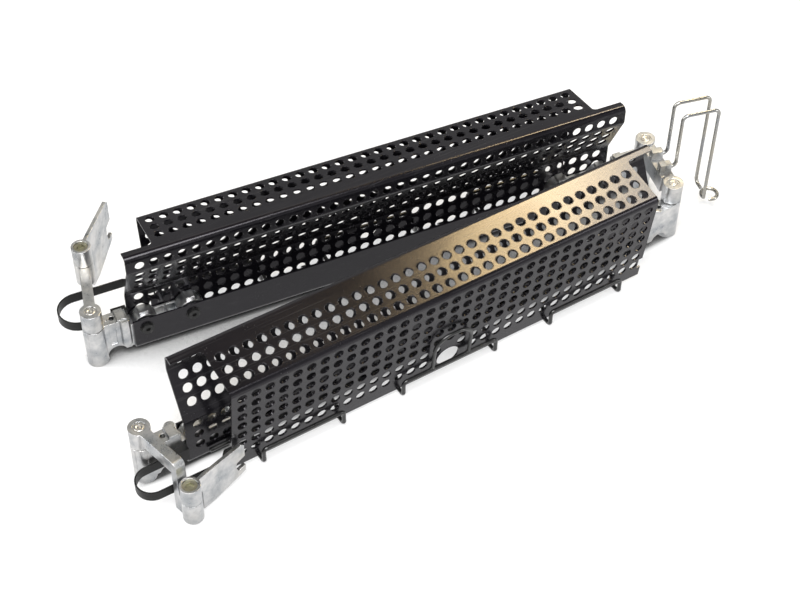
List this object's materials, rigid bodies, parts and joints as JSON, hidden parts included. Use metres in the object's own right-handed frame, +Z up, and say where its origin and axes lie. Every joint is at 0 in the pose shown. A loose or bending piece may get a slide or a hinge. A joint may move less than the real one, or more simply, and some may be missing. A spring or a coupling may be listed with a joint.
{
  "type": "server rack cable management arm",
  "caption": "Folding black perforated cable management arm with cast metal hinge castings, a wire cable guide and hooked rail latches",
  "frame": {"origin": "Middle of the footprint, on the surface that the folded arm stands on", "axes": "+X runs along the front tray from its latch end to the middle link, +Y from the front tray towards the rear tray, +Z up"},
  "size_m": [0.4764, 0.2304, 0.0923],
  "materials": {
    "black_sheet": "gloss black paint on punched sheet steel",
    "black_wire": "gloss black coated wire",
    "bright_wire": "bright zinc-plated wire",
    "black_screw": "black oxide",
    "strap_rubber": "satin black",
    "yellow_bolt": "yellow zinc plate",
    "pin_steel": "machined",
    "cast_metal": "bright die casting, lightly mottled"
  },
  "bodies": {
    "front_arm": {"front_tray": "black_sheet", "front_end_casting": "cast_metal", "front_mid_casting": "cast_metal", "front_casting_screws": "black_screw", "front_hinge_pin": "pin_steel", "front_mid_pin": "pin_steel", "front_hinge_washer": "pin_steel", "front_mid_washer": "pin_steel", "front_strap": "strap_rubber", "front_strap_clip": "strap_rubber"},
    "front_cover": {"front_wire_cover": "black_wire"},
    "front_link_body": {"front_link": "cast_metal", "front_latch_washer": "pin_steel", "front_latch_bolt": "yellow_bolt"},
    "front_latch_body": {"front_latch": "cast_metal"},
    "middle_link_body": {"mid_link": "cast_metal", "front_guide_wire": "bright_wire", "rear_guide_wire": "bright_wire"},
    "rear_arm": {"rear_tray": "black_sheet", "rear_end_casting": "cast_metal", "rear_mid_casting": "cast_metal", "rear_casting_screws": "black_screw", "rear_hinge_pin": "pin_steel", "rear_mid_pin": "pin_steel", "rear_hinge_washer": "pin_steel", "rear_mid_washer": "pin_steel", "rear_strap": "strap_rubber", "rear_strap_clip": "strap_rubber"},
    "rear_cover": {"rear_wire_cover": "black_wire"},
    "rear_link_body": {"rear_link": "cast_metal", "rear_latch_washer": "pin_steel", "rear_latch_bolt": "yellow_bolt"},
    "rear_latch_body": {"rear_latch": "cast_metal"}
  },
  "joints": [
    {"name": "middle_front_hinge", "type": "hinge", "parent": "front_arm", "child": "middle_link_body", "pos_m": [0.1876, -0.06374, 0.038], "axis": [0, 0, 1], "range_deg": [-86, 3]},
    {"name": "middle_rear_hinge", "type": "hinge", "parent": "middle_link_body", "child": "rear_arm", "pos_m": [0.20028, -0.01641, 0.038], "axis": [0, 0, 1], "range_deg": [-86, 3]},
    {"name": "front_link_hinge", "type": "hinge", "parent": "front_arm", "child": "front_link_body", "pos_m": [-0.2232, -0.06374, 0.038], "axis": [0, 0, 1], "range_deg": [-95, 0]},
    {"name": "front_latch_hinge", "type": "hinge", "parent": "front_link_body", "child": "front_latch_body", "pos_m": [-0.21363, -0.10874, 0.024], "axis": [0, 0, 1], "range_deg": [-100, 0]},
    {"name": "rear_link_hinge", "type": "hinge", "parent": "rear_arm", "child": "rear_link_body", "pos_m": [-0.20676, 0.03898, 0.038], "axis": [0, 0, 1], "range_deg": [0, 95]},
    {"name": "rear_latch_hinge", "type": "hinge", "parent": "rear_link_body", "child": "rear_latch_body", "pos_m": [-0.19122, 0.08228, 0.052], "axis": [0, 0, 1], "range_deg": [-30, 60]},
    {"name": "front_cover_hinge", "type": "hinge", "parent": "front_arm", "child": "front_cover", "pos_m": [-0.0178, -0.07559, 0.0102], "axis": [1, 0, 0], "range_deg": [0, 90]},
    {"name": "rear_cover_hinge", "type": "hinge", "parent": "rear_arm", "child": "rear_cover", "pos_m": [-0.00164, 0.02303, 0.0102], "axis": [-0.9909, 0.1349, 0], "range_deg": [0, 90]}
  ]
}
